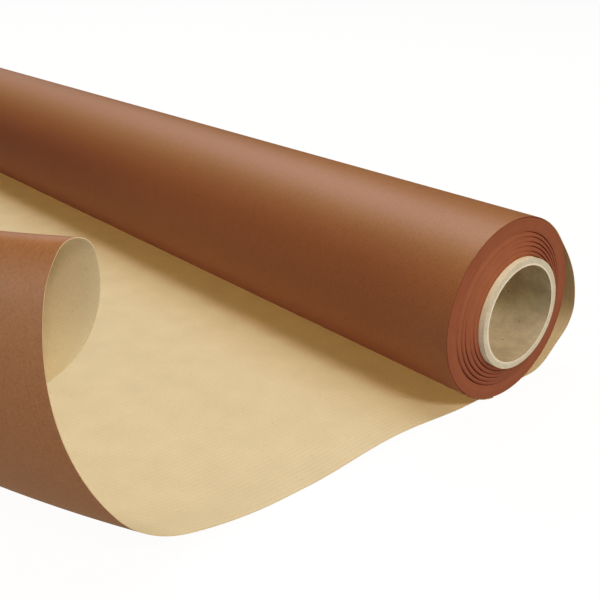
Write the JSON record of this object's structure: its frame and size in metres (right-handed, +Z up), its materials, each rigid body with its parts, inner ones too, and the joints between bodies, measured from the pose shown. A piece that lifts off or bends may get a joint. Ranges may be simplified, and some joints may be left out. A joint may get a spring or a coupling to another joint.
{
  "type": "wrapping paper roll",
  "caption": "Roll of brown kraft wrapping paper wound on a card core, partly rolled out flat, with its free end curled up.",
  "frame": {"origin": "on the core's axis, at the middle of the wound web's width", "axes": "+X along the core, towards the end where the core stands proud; -Y the way the paper is rolled out; +Z up"},
  "size_m": [0.7106, 0.3971, 0.1354],
  "materials": {
    "core_board": "grey-brown spirally wound board",
    "tape": "thin matt paper tape",
    "wound_paper": "stacked cut edges of brown paper",
    "sheet_paper": "ribbed kraft, red-brown coated on the outer side"
  },
  "bodies": {
    "laid_sheet": {"laid_sheet": "sheet_paper"},
    "slack_turn": {"slack_turn": "sheet_paper"},
    "roll": {"core_inner_ply": "core_board", "core_second_ply": "core_board", "core_third_ply": "core_board", "core_outer_ply": "core_board", "start_tape": "tape", "wound_turns_1": "wound_paper", "wound_turns_2": "wound_paper", "wound_turns_3": "wound_paper", "wound_turns_4": "wound_paper", "wound_turns_5": "wound_paper", "wound_turns_6": "wound_paper"},
    "free_end": {"free_end": "sheet_paper"}
  },
  "joints": [
    {"name": "roll_travel", "type": "slide", "parent": "laid_sheet", "child": "slack_turn", "axis": [0, 1, 0], "range_m": [0, 0.299]},
    {"name": "roll_turn", "type": "hinge", "parent": "slack_turn", "child": "roll", "pos_m": [0, 0, 0], "axis": [1, 0, 0], "range_deg": [-360, 0]},
    {"name": "free_end_lift", "type": "hinge", "parent": "laid_sheet", "child": "free_end", "pos_m": [0.346, -0.142, -0.0475], "axis": [-0.9886, -0.1507, 0], "range_deg": [0, 40]}
  ],
  "couplings": [
    {"joint": "roll_turn", "follows": "roll_travel", "rad_per_m": -20.986}
  ]
}
